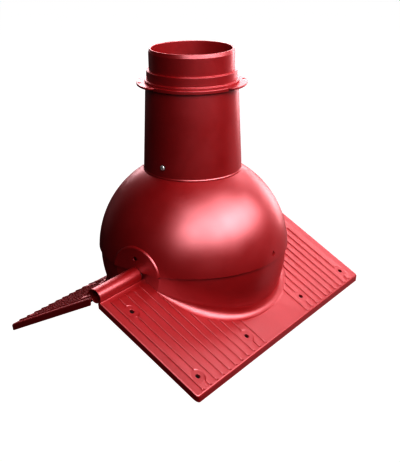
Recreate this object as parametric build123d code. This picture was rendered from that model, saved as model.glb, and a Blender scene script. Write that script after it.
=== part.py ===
from build123d import *
import os
from math import sin, cos, tan, radians, degrees, sqrt, asin, atan2, pi

# Ridge-mounted roof outlet for a ventilation pipe.
# A half-ball dome sits over two flashing plates that hinge about the ridge line.
# Frame: +Z up the neck, +X along the ridge, origin on the neck's axis, level with
# the lowest edge of the plates at the rest pitch. Units are millimetres.

# ---------------------------------------------------------------- driving sizes
PITCH = 28.5            # roof pitch of both plates at rest, degrees
PITCH_MIN = 15.0        # flattest roof it adapts to
PITCH_MAX = 45.0        # steepest roof it adapts to
ZA = 127.8              # height of the ridge hinge axis above the eave edges

W = 282.4               # half length of the plates along the ridge
S_EAVE = 242.5          # plate edge, measured down the slope from the hinge axis
S_RIDGE = 12.5          # start of the plate's side lips
T = 3.0                 # moulded wall
LIP = 11.2              # depth of the turned-down edges
DRAFT = 4.7             # outward draft of the eave lip
CORNER_R = 6.0

R_DOME = 178.0          # dome outside radius, centred on the hinge axis
R_SKIRT = 174.5         # skirt outside radius
RIM = 7.0               # dome rim above the hinge axis
X_EAR = 174.0           # flat of the dome ears
R_EAR = 52.5            # ear disc radius
X_SKIRT = 168.0         # flat of the skirt cheeks
SKIRT_TOP = 40.0        # skirt upper edge, degrees above the horizontal
HOLE_EAR_Z = 31.0       # ear screw hole above the axis
HOLE_SIDE_Z = 22.7      # side screw hole above the axis

NECK_R0, NECK_Z0 = 89.5, 154.0      # neck outside radius where it lands on the dome
NECK_TAPER = 0.043                  # radius lost per millimetre of height
NECK_TOP = 306.5
COLLAR_R, COLLAR_TOP = 86.1, 186.0  # upstand of the dome inside the neck

RING_R, RING_LO, RING_HI = 88.0, 306.5, 313.0   # lug ring
LUG_R, LUG_T, LUG_HOLE_R, LUG_HOLE_PCR = 98.5, 3.5, 3.0, 93.8
LUG_HALF, LUG_MID, LUG_HOLE_AZ = 43.5, -55.5, -45.0

BASE_R, BASE_TOP = 84.0, 317.0      # spigot adapter, bottom to top
SHOULDER_R, SHOULDER_TOP = 80.5, 333.8
SPIGOT_R, SPIGOT_TOP = 76.0, 365.0
RIM_R, RIM_TOP = 74.2, 371.5
BORE_R = 71.5
TAIL_R, TAIL_LO = 79.0, 268.0

ROLL_RO, ROLL_RI = 14.7, 12.7       # ridge roll of the right plate
TUBE_RO, TUBE_RI = 12.2, 10.2       # hinge tube of the left plate
X_ROLL = 174.5                      # rolls run from here to the plate ends

HOLES = [(250.0, 213.8), (96.0, 208.0), (246.0, 57.2)]   # (x, down slope), mirrored in x
HOLE_R = 4.0
PAD_R = 13.0            # plain pad round each fixing hole
PAD_H = 0.95
HOLE_SMALL_R = 4.0      # screw holes through the ears and the dome sides
PANEL = 4               # courses either side of the middle that run together as a plain panel
RIB_PITCH = 18.9        # lapped courses, each a slope with one riser
RIB_H = 1.9

HUB_R, BUSH_RO, BUSH_RI = 16.0, 6.0, 4.05
BOLT_R = 4.0
FOAM_X0, FOAM_X1 = 237.0, 261.0      # foam bands, along the ridge
FOAM_S0, FOAM_S1, FOAM_T = 200.0, 225.0, 7.0
RIGHT_HUB = (165.0, 168.0)          # |x| range of each hub wall
LEFT_HUB = (161.4, 164.4)
LUG_X = (157.4, 160.4)              # the dome's own pivot tabs

os.makedirs("parts", exist_ok=True)
Z = Pos(0, 0, ZA)


def cylx(r, x0, x1, y=0.0, z=0.0):
    """Cylinder along X from x0 to x1, heights measured from the hinge axis."""
    return Pos((x0 + x1) / 2, y, ZA + z) * Rot(0, 90, 0) * Cylinder(r, abs(x1 - x0))


def cylz(r, z0, z1, x=0.0, y=0.0):
    """Cylinder along Z, heights measured from the hinge axis."""
    return Pos(x, y, ZA + (z0 + z1) / 2) * Cylinder(r, z1 - z0)


def boxr(x0, x1, y0, y1, z0, z1, base=ZA):
    return Pos((x0 + x1) / 2, (y0 + y1) / 2, base + (z0 + z1) / 2) * Box(x1 - x0, y1 - y0, z1 - z0)


def prism_x(pts, x0, x1, base=ZA):
    """Extrude a (y, z) polygon along X between x0 and x1."""
    pl = Plane(origin=(x0, 0, base), x_dir=(0, 1, 0), z_dir=(1, 0, 0))
    return extrude(pl * make_face(Polyline(*pts, close=True)), x1 - x0)


def spin(profile):
    """Revolve a closed (r, z) profile about the neck axis, z from the hinge axis."""
    pts = [(r, 0, ZA + z) for r, z in profile]
    return revolve(make_face(Polyline(*pts, close=True)), Axis.Z, 360)


def neck_r(z):
    return NECK_R0 - NECK_TAPER * (z - NECK_Z0)


def save(shape, node):
    solids = shape.solids()
    out = solids[0] if len(solids) == 1 else Compound(children=list(solids))
    out.label = node
    export_step(out, "parts/%s.step" % node)
    return out


# ---------------------------------------------------------------- dome
def ball(r, x_flat):
    return (Z * Sphere(r)) & boxr(-x_flat, x_flat, -r - 1, r + 1, -r - 1, r + 1)


def make_dome():
    bar = cylx(R_EAR, -X_EAR, X_EAR)
    bar = fillet(bar.edges().filter_by(GeomType.CIRCLE), 4.0)
    outer = ball(R_DOME, X_EAR) + bar
    inner = ball(R_DOME - T, X_EAR - T) + cylx(R_EAR - T, -(X_EAR - T), X_EAR - T)
    shell = (outer - inner) & boxr(-200, 200, -200, 200, RIM, 200)
    shell -= cylz(COLLAR_R - T, 100, 200)
    # upstand the neck slides over, tapered with the neck
    top_r = COLLAR_R - NECK_TAPER * (COLLAR_TOP - NECK_Z0)
    collar = spin([(COLLAR_R - T, 153.3), (COLLAR_R, 153.3), (top_r, COLLAR_TOP), (top_r - T, COLLAR_TOP)])
    shell += collar
    # pivot tabs: one inside each ear, from the crown of the ear down to the axis
    for s in (-1, 1):
        a, b = sorted((s * LUG_X[0], s * LUG_X[1]))
        tab = cylx(15.0, a, b) + boxr(a, b, -13, 13, 0, 85)
        tab &= Z * Sphere(R_DOME - 1.4)
        # gusset web along the dome wall that carries the tab
        shell += tab
        shell -= cylx(BOLT_R + 0.05, a - 2, b + 2)
    # screw holes through the ears and the two sides
    for s in (-1, 1):
        a, b = sorted((s * 168, s * 180))
        shell -= cylx(HOLE_SMALL_R, a, b, 0, HOLE_EAR_Z)
        shell -= Pos(0, s * 176.5, ZA + HOLE_SIDE_Z) * Rot(90, 0, 0) * Cylinder(HOLE_SMALL_R, 14)
    # screw holes in the upstand
    for s in (-1, 1):
        a, b = sorted((s * 78, s * 95))
        shell -= cylx(2.05, a, b, 0, 174.5)
    return shell


dome = save(make_dome(), "dome_cowl")

# ---------------------------------------------------------------- neck and top
neck = spin([(neck_r(130) - T, 130), (neck_r(130), 130), (neck_r(NECK_TOP), NECK_TOP), (neck_r(NECK_TOP) - T, NECK_TOP)])
neck -= Z * Sphere(R_DOME + 0.05)
for s in (-1, 1):
    a, b = sorted((s * 80, s * 95))
    neck -= cylx(2.25, a, b, 0, 174.5)
save(neck, "neck_sleeve")

ring = cylz(RING_R, RING_LO, RING_HI) - cylz(TAIL_R + 0.2, RING_LO - 1, RING_HI + 1)


def lug(mid):
    """One fixing lug: a sector that stands out past the ring, rounded at both ends."""
    a0, a1 = mid - LUG_HALF, mid + LUG_HALF
    n = 24
    arc = [(LUG_R * cos(radians(a0 + 6 + (a1 - a0 - 12) * i / n)), LUG_R * sin(radians(a0 + 6 + (a1 - a0 - 12) * i / n))) for i in range(n + 1)]
    inner = [(84 * cos(radians(a1 - (a1 - a0) * i / n)), 84 * sin(radians(a1 - (a1 - a0) * i / n))) for i in range(n + 1)]
    step = [(91.5 * cos(radians(a0 + 1.2)), 91.5 * sin(radians(a0 + 1.2)))] + arc + [(91.5 * cos(radians(a1 - 1.2)), 91.5 * sin(radians(a1 - 1.2)))]
    f = make_face(Polyline(*(step + inner), close=True))
    return extrude(Pos(0, 0, ZA + RING_HI - LUG_T) * f, LUG_T)


for k in (0, 180):
    ring += lug(LUG_MID + k)
    az = radians(LUG_HOLE_AZ + k)
    ring -= cylz(LUG_HOLE_R, RING_LO, RING_HI + 2, LUG_HOLE_PCR * cos(az), LUG_HOLE_PCR * sin(az))
save(ring, "lug_ring")

GROOVE_LO, GROOVE_HI, GROOVE_R = 290.0, 294.0, 77.2
adapter = spin([(BORE_R, RIM_TOP), (RIM_R, RIM_TOP), (SPIGOT_R, SPIGOT_TOP), (SPIGOT_R, SHOULDER_TOP),
                (SHOULDER_R - 0.8, SHOULDER_TOP), (SHOULDER_R, SHOULDER_TOP - 0.8), (SHOULDER_R, BASE_TOP + 0.4),
                (BASE_R - 0.8, BASE_TOP), (BASE_R, BASE_TOP - 0.8), (BASE_R, RING_HI), (TAIL_R, RING_HI),
                (TAIL_R, GROOVE_HI), (GROOVE_R, GROOVE_HI), (GROOVE_R, GROOVE_LO), (TAIL_R, GROOVE_LO),
                (TAIL_R, TAIL_LO + 3), (TAIL_R - 1.5, TAIL_LO), (75.0, TAIL_LO), (75.0, 322.0), (BORE_R, 330.0)])
save(adapter, "spigot_adapter")
save(spin([(GROOVE_R + 0.05, GROOVE_LO + 0.3), (neck_r(GROOVE_LO) - T - 0.1, GROOVE_LO + 0.3),
           (neck_r(GROOVE_HI) - T - 0.1, GROOVE_HI - 0.3), (GROOVE_R + 0.05, GROOVE_HI - 0.3)]), "spigot_seal")


SCREW_X, WASHER_T, WASHER_R = neck_r(174.5) + 0.28, 1.2, 5.4


def neck_washer(s):
    a, b = sorted((s * SCREW_X, s * (SCREW_X + WASHER_T - 0.02)))
    return cylx(WASHER_R, a, b, 0, 174.5) - cylx(2.05, a - 1, b + 1, 0, 174.5)


def pan_screw(s):
    """Pan-head screw along X, its head on a sealing washer outside the neck."""
    x = SCREW_X + WASHER_T
    pts = [(0, x + 2.6), (2.6, x + 2.6), (4.0, x + 2.0), (4.7, x + 0.9), (4.7, x), (2.0, x), (2.0, x - 13), (1.0, x - 15), (0, x - 15)]
    f = make_face(Polyline(*[(h, 0, r) for r, h in pts], close=True))
    scr = revolve(f, Axis.X, 360)
    scr -= Pos(x + 2.2, 0, 0) * Box(1.6, 1.0, 4.6) + Pos(x + 2.2, 0, 0) * Box(1.6, 4.6, 1.0)
    scr = Pos(0, 0, ZA + 174.5) * scr
    return scr if s > 0 else scr.mirror(Plane.YZ)


save(Compound(children=[pan_screw(-1), pan_screw(1)]), "neck_screws")
save(Compound(children=[neck_washer(-1), neck_washer(1)]), "neck_screw_washers")


# ---------------------------------------------------------------- flashing plates
# Each plate is drawn flat: x along the ridge, -y down the slope, z normal to the
# sheet, with the hinge axis at the origin. It is then turned to the roof pitch.
def loc_box(x0, x1, s0, s1, h0, h1):
    return Pos((x0 + x1) / 2, -(s0 + s1) / 2, (h0 + h1) / 2) * Box(x1 - x0, s1 - s0, h1 - h0)


def loc_prism(pts, x0, x1):
    """Extrude an (s, h) polygon along X."""
    pl = Plane(origin=(x0, 0, 0), x_dir=(0, -1, 0), z_dir=(-1, 0, 0))
    return extrude(pl * make_face(Polyline(*pts, close=True)), -(x1 - x0))


def loc_cylx(r, x0, x1):
    return Pos((x0 + x1) / 2, 0, 0) * Rot(0, 90, 0) * Cylinder(r, x1 - x0)


def flat_plate(left):
    sheet = loc_box(-W, W, 13.9 if not left else 11.3, S_EAVE, -T, 0)
    # eave corners
    sheet = fillet(sheet.edges().filter_by(Axis.Z).group_by(Axis.Y)[0], CORNER_R)
    # eave lip with outward draft, and the two end lips
    eave = loc_prism([(S_EAVE - T, 0), (S_EAVE - 1.0, 0), (S_EAVE, -1.0), (S_EAVE + DRAFT, -LIP), (S_EAVE + DRAFT - T, -LIP), (S_EAVE - T, -T)],
                     -W + 1.5, W - 1.5)
    plate = sheet + eave
    for s in (-1, 1):
        a, b = sorted((s * (W - T), s * W))
        end = loc_prism([(S_RIDGE, 0), (S_EAVE - 1.5, 0), (S_EAVE + DRAFT - 1.5, -LIP), (S_RIDGE + 5.0, -LIP), (S_RIDGE, -4.2)], a, b)
        plate += end
    # lapped courses: each slopes down along +x to the next riser
    teeth = []
    n = int(W // RIB_PITCH)
    for i in range(-n, n):
        x0 = i * RIB_PITCH
        if not -PANEL < i < PANEL:
            teeth.append((x0, RIB_H))
        if i == -PANEL or i == PANEL - 2:
            teeth.append((x0 + RIB_PITCH, PAD_H))
        elif not -PANEL < i < PANEL - 1:
            teeth.append((x0 + RIB_PITCH, 0.25))
    prof = [(-n * RIB_PITCH, -0.5)] + teeth + [(n * RIB_PITCH, -0.5)]
    pl = Plane(origin=(0, -21.5, 0), x_dir=(1, 0, 0), z_dir=(0, -1, 0))
    courses = extrude(pl * make_face(Polyline(*prof, close=True)), 238.0 - 21.5)
    courses -= Pos(0, 0, -5) * Cylinder(190.5, 20)
    for hx, hs in HOLES:
        for s in (-1, 1):
            courses -= Pos(s * hx, -hs, 0) * Cylinder(PAD_R, 20)
            courses += Pos(s * hx, -hs, (PAD_H - 0.5) / 2) * Cylinder(PAD_R, PAD_H + 0.5)
    plate += courses
    # fillet between the skirt and the sheet, faded out towards the ridge
    rf = 15.0
    c = sqrt((R_SKIRT + rf) ** 2 - rf ** 2)
    pts = []
    for i in range(9):
        a = radians(-90 - i * (degrees(atan2(c, rf))) / 8.0)
        pts.append((c + rf * cos(a), rf + rf * sin(a)))
    ring_prof = [(173.0, -1.0), (c, -1.0)] + pts + [(pts[-1][0] - 1.5, pts[-1][1])]
    foot = revolve(make_face(Polyline(*[(r, 0, h) for r, h in ring_prof], close=True)), Axis.Z, 360)
    foot &= loc_box(-160, 160, 5, 220, -5, 40)
    plate += foot
    # inside of the ball is open
    hollow = Sphere(R_SKIRT - 1.5) & Box(2 * (X_SKIRT - 1.5), 500, 500)
    plate -= hollow
    # skirt: a slice of a ball with flat cheeks
    out_b = Sphere(R_SKIRT) & Box(2 * X_SKIRT, 400, 400)
    in_b = Sphere(R_SKIRT - T) & Box(2 * (X_SKIRT - T), 400, 400)
    top = radians(SKIRT_TOP + PITCH)
    big = 420.0
    wedge = loc_prism([(-T * 0.0, -T), (big, -T), (big, big * 0.2), (big * cos(top), big * sin(top)), (0, 0)], -200, 200)
    skirt = (out_b - in_b) & wedge
    plate += skirt
    # hub discs on the hinge axis
    h0, h1 = LEFT_HUB if left else RIGHT_HUB
    for s in (-1, 1):
        if left:
            # the cheek clears the other plate's hub, and steps inwards to its own
            a, b = sorted((s * (RIGHT_HUB[0] - 0.6), s * (X_SKIRT + 1)))
            plate -= loc_cylx(HUB_R + 1.2, a, b)
            a, b = sorted((s * LEFT_HUB[0], s * LEFT_HUB[1]))
            disc = loc_cylx(HUB_R, a, b)
            pad = (loc_cylx(34.0, a, b) & wedge)
            a2, b2 = sorted((s * LEFT_HUB[0], s * (X_SKIRT - 1)))
            step = ((loc_cylx(34.0, a2, b2) - loc_cylx(HUB_R + 1.2, a2 - 1, b2 + 1)) & wedge)
            plate += disc + pad + step
            a, b = sorted((s * (RIGHT_HUB[0] - 0.6), s * (X_SKIRT + 1)))
            plate -= loc_cylx(HUB_R + 1.2, a, b)
        else:
            a, b = sorted((s * RIGHT_HUB[0], s * RIGHT_HUB[1]))
            plate += loc_cylx(HUB_R, a, b)
        a, b = sorted((s * (h0 - 3), s * (h1 + 3)))
        plate -= loc_cylx(BUSH_RO, a, b)
    # keep the sheet clear of the pivot hardware between cheek and roll
    for s in (-1, 1):
        a, b = sorted((s * (X_SKIRT + 0.01), s * (X_ROLL)))
        plate -= Pos((a + b) / 2, 0, 0) * Box(b - a, 2 * 13.0, 60)
    # ridge roll or hinge tube
    for s in (-1, 1):
        if left:
            a, b = sorted((s * X_ROLL, s * (W - 4.0)))
            plate -= loc_cylx(TUBE_RO - 0.4, a - 0.01, b + 0.01)
            plate += loc_cylx(TUBE_RO, a, b) - loc_cylx(TUBE_RI, a - 1, b + 1)
            a, b = sorted((s * (W - 4.0), s * (W + 1)))
            plate -= loc_cylx(TUBE_RO, a, b)
        else:
            a, b = sorted((s * X_ROLL, s * W))
            roll = loc_cylx(ROLL_RO, a, b) - loc_cylx(ROLL_RI, a - 1, b + 1)
            e0, e1 = radians(-12.6), radians(200.0)
            L = 40.0
            gap = [(0, 0), (L * cos(e0), L * sin(e0)), (L * cos(radians(-60)), L * sin(radians(-60))),
                   (L * cos(radians(-110)), L * sin(radians(-110))), (L * cos(e1), L * sin(e1))]
            roll -= loc_prism(gap, a - 1, b + 1)
            plate += roll
    # fixing holes
    for hx, hs in HOLES:
        for s in (-1, 1):
            plate -= Pos(s * hx, -hs, 0) * Cylinder(HOLE_R, 30)
    return plate


def foam_strips():
    """Sealing foam under the line of fixing holes: a band along the eave and one up
    each end, with the screw holes punched through it."""
    f = loc_box(-FOAM_X1, FOAM_X1, FOAM_S0, FOAM_S1, -T - FOAM_T, -T)
    for s in (-1, 1):
        a, b = sorted((s * FOAM_X0, s * FOAM_X1))
        f += loc_box(a, b, 44.0, FOAM_S0, -T - FOAM_T, -T)
    for hx, hs in HOLES:
        for s in (-1, 1):
            f -= Pos(s * hx, -hs, 0) * Cylinder(HOLE_R, 30)
    return f


def edge_seal():
    """Flexible trim along the skirt's upper edge."""
    ball_o = Sphere(R_SKIRT + 0.15) & Box(2 * 150, 400, 400)
    ball_i = Sphere(R_SKIRT - T - 1.5)
    t0, t1 = radians(SKIRT_TOP + PITCH), radians(SKIRT_TOP + PITCH + 1.6)
    big = 420.0
    w = loc_prism([(0, 0), (big * cos(t0), big * sin(t0)), (big * cos(t1), big * sin(t1))], -150, 150)
    return (ball_o - ball_i) & w


def bushes(left):
    h0, h1 = LEFT_HUB if left else RIGHT_HUB
    out = []
    for s in (-1, 1):
        a, b = sorted((s * h0, s * h1))
        out.append(loc_cylx(BUSH_RO - 0.02, a, b) - loc_cylx(BUSH_RI, a - 1, b + 1))
    return Compound(children=out)


def place(shape, left):
    if left:
        shape = shape.mirror(Plane.XZ)
        return Pos(0, 0, ZA) * Rot(-PITCH, 0, 0) * shape
    return Pos(0, 0, ZA) * Rot(PITCH, 0, 0) * shape


for side, left in (("right", False), ("left", True)):
    save(place(flat_plate(left), left), side + "_flashing")
    save(place(foam_strips(), left), side + "_foam_seal")
    save(place(edge_seal(), left), side + "_skirt_trim")
    save(place(bushes(left), left), side + "_hub_bushes")

# ---------------------------------------------------------------- pivot hardware
HEAD_AF = 13.0


def both_ends(fn):
    return Compound(children=[fn(-1), fn(1)])


def hexx(af, x0, x1):
    a, b = sorted((x0, x1))
    pl = Plane(origin=(a, 0, ZA), x_dir=(0, 1, 0), z_dir=(1, 0, 0))
    return extrude(pl * RegularPolygon(af / 2, 6, major_radius=False), b - a)


def span(s, x0, x1):
    return sorted((s * x0, s * x1))


def pivot_bolt(s):
    a, b = span(s, 144.5, 170.4)
    return cylx(BOLT_R, a, b) + hexx(HEAD_AF, s * 170.0, s * 175.3)


def head_washer(s):
    a, b = span(s, 168.3, 169.9)
    return cylx(10.0, a, b) - cylx(BOLT_R + 0.2, a - 1, b + 1)


def spacer_washer(s):
    a, b = span(s, 160.5, 161.3)
    return cylx(13.0, a, b) - cylx(BOLT_R + 0.2, a - 1, b + 1)


def nut_washer(s):
    a, b = span(s, 155.7, 157.3)
    return cylx(8.5, a, b) - cylx(BOLT_R + 0.2, a - 1, b + 1)


def lock_nut(s):
    a, b = span(s, 147.6, 155.6)
    return hexx(HEAD_AF, a, b) - cylx(BOLT_R + 0.02, a - 1, b + 1)


save(both_ends(pivot_bolt), "pivot_bolts")
save(both_ends(head_washer), "pivot_head_washers")
save(both_ends(spacer_washer), "pivot_friction_washers")
save(both_ends(nut_washer), "pivot_nut_washers")
save(both_ends(lock_nut), "pivot_lock_nuts")
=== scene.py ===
from math import sin, cos, tan, radians, degrees, sqrt, atan2, pi, asin, hypot
import bpy
import numpy as np
from mathutils import Vector, Matrix
from mathutils.geometry import delaunay_2d_cdt


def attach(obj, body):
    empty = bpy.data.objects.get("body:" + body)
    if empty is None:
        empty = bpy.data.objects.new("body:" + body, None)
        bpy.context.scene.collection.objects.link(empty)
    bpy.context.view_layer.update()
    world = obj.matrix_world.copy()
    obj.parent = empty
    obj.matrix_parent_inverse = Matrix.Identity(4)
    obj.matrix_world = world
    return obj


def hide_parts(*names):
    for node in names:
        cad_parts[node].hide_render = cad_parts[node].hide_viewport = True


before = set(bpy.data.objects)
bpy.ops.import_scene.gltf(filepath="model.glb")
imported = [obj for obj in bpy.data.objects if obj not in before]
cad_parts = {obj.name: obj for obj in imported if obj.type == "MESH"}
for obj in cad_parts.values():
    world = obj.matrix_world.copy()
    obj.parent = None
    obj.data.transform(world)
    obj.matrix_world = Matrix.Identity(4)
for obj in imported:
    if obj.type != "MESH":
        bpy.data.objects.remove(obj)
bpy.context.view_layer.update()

# ------------------------------------------------------------------ sizes (mm)
P = radians(28.5)
ZA = 127.8
W, S_EAVE, S_RIDGE, T, LIP, DRAFT = 282.4, 242.5, 12.5, 3.0, 11.2, 4.7
R_DOME, R_SKIRT, RIM = 178.0, 174.5, 7.0
X_EAR, R_EAR, X_SKIRT = 174.0, 52.5, 168.0
SKIRT_TOP = radians(40.0)
HOLES = [(250.0, 213.8), (96.0, 208.0), (246.0, 57.2)]
HOLE_R, PAD_R, RIB, RIB_H, PAD_H = 4.0, 13.0, 18.9, 1.9, 0.95
SMALL_R = 4.0


def neck_r(z):
    return 89.5 - 0.043 * (z - 154.0)


# ------------------------------------------------------------------ mesh tools
class Shells:
    """Gathers closed shells, in millimetres, into one mesh."""

    def __init__(self):
        self.v, self.f, self.kind = [], [], []
        self.n = 0

    def add(self, verts, faces, kind=0):
        verts = np.asarray(verts, float).reshape(-1, 3)
        self.v.append(verts)
        for f in faces:
            self.f.append([i + self.n for i in f])
            self.kind.append(kind)
        self.n += len(verts)

    def build(self, name, matrix=None, angle=38.0, mirror_y=False):
        v = np.concatenate(self.v) * 0.001
        if mirror_y:
            v[:, 1] *= -1
        me = bpy.data.meshes.new(name)
        me.from_pydata(v.tolist(), [], self.f)
        me.validate()
        import bmesh
        bm = bmesh.new()
        bm.from_mesh(me)
        bmesh.ops.remove_doubles(bm, verts=bm.verts, dist=2e-7)
        bmesh.ops.dissolve_degenerate(bm, edges=bm.edges, dist=1e-7)
        bmesh.ops.recalc_face_normals(bm, faces=bm.faces)
        bm.to_mesh(me)
        bm.free()
        if matrix is not None:
            me.transform(matrix)
        me.polygons.foreach_set("use_smooth", [True] * len(me.polygons))
        me.set_sharp_from_angle(angle=radians(angle))
        ob = bpy.data.objects.new(name, me)
        bpy.context.scene.collection.objects.link(ob)
        return ob


def weighted(ob):
    m = ob.modifiers.new("wn", "WEIGHTED_NORMAL")
    m.keep_sharp = True
    m.mode = "FACE_AREA"
    m.weight = 60
    dg = bpy.context.evaluated_depsgraph_get()
    dg.update()
    me = bpy.data.meshes.new_from_object(ob.evaluated_get(dg))
    ob.modifiers.clear()
    old = ob.data
    ob.data = me
    bpy.data.meshes.remove(old)
    me.name = ob.name
    return ob


def ball_normals(ob, zc, bands):
    """Sets exact normals on the round faces, so that highlights stay even."""
    me = ob.data
    n = len(me.corners) if hasattr(me, "corners") else len(me.loops)
    nor = np.zeros(n * 3)
    me.corner_normals.foreach_get("vector", nor)
    nor = nor.reshape(-1, 3)
    co = np.zeros(len(me.vertices) * 3)
    me.vertices.foreach_get("co", co)
    co = co.reshape(-1, 3) - np.array([0, 0, zc])
    r = np.linalg.norm(co, axis=1)
    vi = np.zeros(n, int)
    me.loops.foreach_get("vertex_index", vi)
    ls = np.zeros(len(me.polygons), int)
    lt = np.zeros(len(me.polygons), int)
    me.polygons.foreach_get("loop_start", ls)
    me.polygons.foreach_get("loop_total", lt)
    fn = np.zeros(len(me.polygons) * 3)
    me.polygons.foreach_get("normal", fn)
    fn = fn.reshape(-1, 3)
    poly = np.repeat(np.arange(len(ls)), lt)
    unit = co / np.maximum(r, 1e-9)[:, None]
    for rad in bands:
        ok_v = np.abs(r - rad * 0.001) < 2e-5
        cnt = np.add.reduceat(ok_v[vi].astype(int), ls)
        whole = cnt == lt
        cen = np.add.reduceat(unit[vi], ls, axis=0)
        cen /= np.maximum(np.linalg.norm(cen, axis=1), 1e-9)[:, None]
        dot = (cen * fn).sum(1)
        whole &= np.abs(dot) > 0.97
        sel = whole[poly]
        nor[sel] = unit[vi[sel]] * np.sign(dot[poly[sel]])[:, None]
    me.normals_split_custom_set(nor.tolist())


def arc(cx, cy, r, a0, a1, n):
    return [(cx + r * cos(a0 + (a1 - a0) * i / n), cy + r * sin(a0 + (a1 - a0) * i / n)) for i in range(n + 1)]


def rounded(pts, rads, n=6):
    """Closed polygon with rounded corners; rads gives one radius a corner."""
    out = []
    m = len(pts)
    for i in range(m):
        a, b, c = (np.array(pts[(i + k) % m], float) for k in (-1, 0, 1))
        r = rads[i] if hasattr(rads, "__len__") else rads
        u, v = a - b, c - b
        lu, lv = np.linalg.norm(u), np.linalg.norm(v)
        if r <= 0 or lu < 1e-9 or lv < 1e-9:
            out.append(tuple(b))
            continue
        u, v = u / lu, v / lv
        th = np.arccos(np.clip(u @ v, -1, 1))
        if th > pi - 0.02:
            out.append(tuple(b))
            continue
        d = min(r / tan(th / 2), 0.49 * lu, 0.49 * lv)
        rr = d * tan(th / 2)
        bis = (u + v) / np.linalg.norm(u + v)
        cen = b + bis * rr / sin(th / 2)
        p0, p1 = b + u * d, b + v * d
        a0 = atan2(*(p0 - cen)[::-1])
        a1 = atan2(*(p1 - cen)[::-1])
        da = (a1 - a0 + pi) % (2 * pi) - pi
        for k in range(n + 1):
            t = a0 + da * k / n
            out.append((cen[0] + rr * cos(t), cen[1] + rr * sin(t)))
    return out


def revolve_z(sh, prof, seg=224, x=0.0, y=0.0):
    """Closed (r, z) profile about the neck axis, z from the hinge axis."""
    m = len(prof)
    v = []
    for k in range(seg):
        a = 2 * pi * k / seg
        for r, z in prof:
            v.append((x + r * cos(a), y + r * sin(a), ZA + z))
    f = []
    for k in range(seg):
        k2 = (k + 1) % seg
        for i in range(m):
            j = (i + 1) % m
            f.append((k * m + i, k2 * m + i, k2 * m + j, k * m + j))
    sh.add(v, f)


def extrude_x(sh, poly, x0, x1, bev, map3, steps=3):
    """Closed 2D polygon between x0 and x1, its end edges rounded by bev."""
    p = np.array(poly, float)
    if np.sum(p[:, 0] * np.roll(p[:, 1], -1) - np.roll(p[:, 0], -1) * p[:, 1]) < 0:
        p = p[::-1]
    e = np.roll(p, -1, 0) - p
    nn = np.stack([e[:, 1], -e[:, 0]], 1)
    nn /= np.maximum(np.linalg.norm(nn, axis=1), 1e-9)[:, None]
    vn = nn + np.roll(nn, 1, 0)
    vn /= np.maximum(np.linalg.norm(vn, axis=1), 1e-9)[:, None]
    st = []
    for i in range(steps + 1):
        t = pi / 2 * i / steps
        st.append((bev * (1 - sin(t)), bev * (1 - cos(t))))
    rows = [(x0 + b, a) for a, b in st] + [(x1 - b, a) for a, b in st[::-1]]
    v, f = [], []
    m = len(p)
    for x, ins in rows:
        for q in p - vn * ins:
            v.append(map3(x, q[0], q[1]))
    for r in range(len(rows) - 1):
        for i in range(m):
            j = (i + 1) % m
            f.append((r * m + i, r * m + j, (r + 1) * m + j, (r + 1) * m + i))
    f.append(tuple(range(m))[::-1])
    f.append(tuple((len(rows) - 1) * m + i for i in range(m)))
    sh.add(v, f)


def inside(poly, q):
    """Even-odd test of points q in a closed polygon."""
    poly = np.asarray(poly, float)
    x, y = q[:, 0], q[:, 1]
    res = np.zeros(len(q), bool)
    x0, y0 = poly[:, 0], poly[:, 1]
    x1, y1 = np.roll(x0, -1), np.roll(y0, -1)
    for a, b, c, d in zip(x0, y0, x1, y1):
        if b == d:
            continue
        hit = ((b > y) != (d > y)) & (x < (c - a) * (y - b) / (d - b) + a)
        res ^= hit
    return res


def cdt(loops, lines=(), extra=()):
    """Triangles of the area inside loops[0] and outside the other loops.
    lines are open or closed point lists that become edges."""
    pts, edges = [], []
    for lp in loops:
        n0 = len(pts)
        pts += [Vector((float(a), float(b))) for a, b in lp]
        edges += [(n0 + i, n0 + (i + 1) % len(lp)) for i in range(len(lp))]
    nb = len(pts)
    for ln in lines:
        n0 = len(pts)
        pts += [Vector((float(a), float(b))) for a, b in ln]
        edges += [(n0 + i, n0 + i + 1) for i in range(len(ln) - 1)]
    pts += [Vector((float(a), float(b))) for a, b in extra]
    vo, _, fo, orig, _, _ = delaunay_2d_cdt(pts, edges, [], 0, 1e-5, True)
    v2 = np.array([(a.x, a.y) for a in vo])
    tri = np.array([t for t in fo if len(t) == 3], int)
    cen = v2[tri].mean(1)
    ok = inside(loops[0], cen)
    for lp in loops[1:]:
        ok &= ~inside(lp, cen)
    tri = tri[ok]
    # the input loop points keep exact places in the output
    where = {}
    for i, o in enumerate(orig):
        for k in o:
            where[k] = i
    ids, base = [], 0
    for lp in loops:
        ids.append([where[base + i] for i in range(len(lp))])
        base += len(lp)
    return v2, tri.tolist(), ids


def sstep(t):
    t = np.clip(t, 0, 1)
    return t * t * (3 - 2 * t)


def world_plate(x, s, h):
    """Plate frame (along ridge, down slope, out of sheet) to the row frame, right side."""
    return (x, -s * cos(P) - h * sin(P), ZA - s * sin(P) + h * cos(P))


def circle(cx, cy, r, n, a0=0.0):
    return [(cx + r * cos(a0 + 2 * pi * i / n), cy + r * sin(a0 + 2 * pi * i / n)) for i in range(n)]


# ------------------------------------------------------------------ plates
FOOT_A = np.radians([0, 12, 23, 32, 42, 50, 58, 66, 71, 74.31])
FOOT_R = np.array([15.0, 16.3, 17.6, 18.0, 17.6, 15.4, 11.0, 6.6, 3.0, 0.35])
ALPHA_MAX = asin(X_SKIRT / R_SKIRT)


def foot_rf(a):
    return np.interp(np.abs(a), FOOT_A, FOOT_R)


STEP_T = [-0.35, -0.16, 0.08, 0.48, 1.1, 1.9]
STEP_H = [0.22, 0.80, 1.25, 1.58, 1.76, 1.80]


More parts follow.
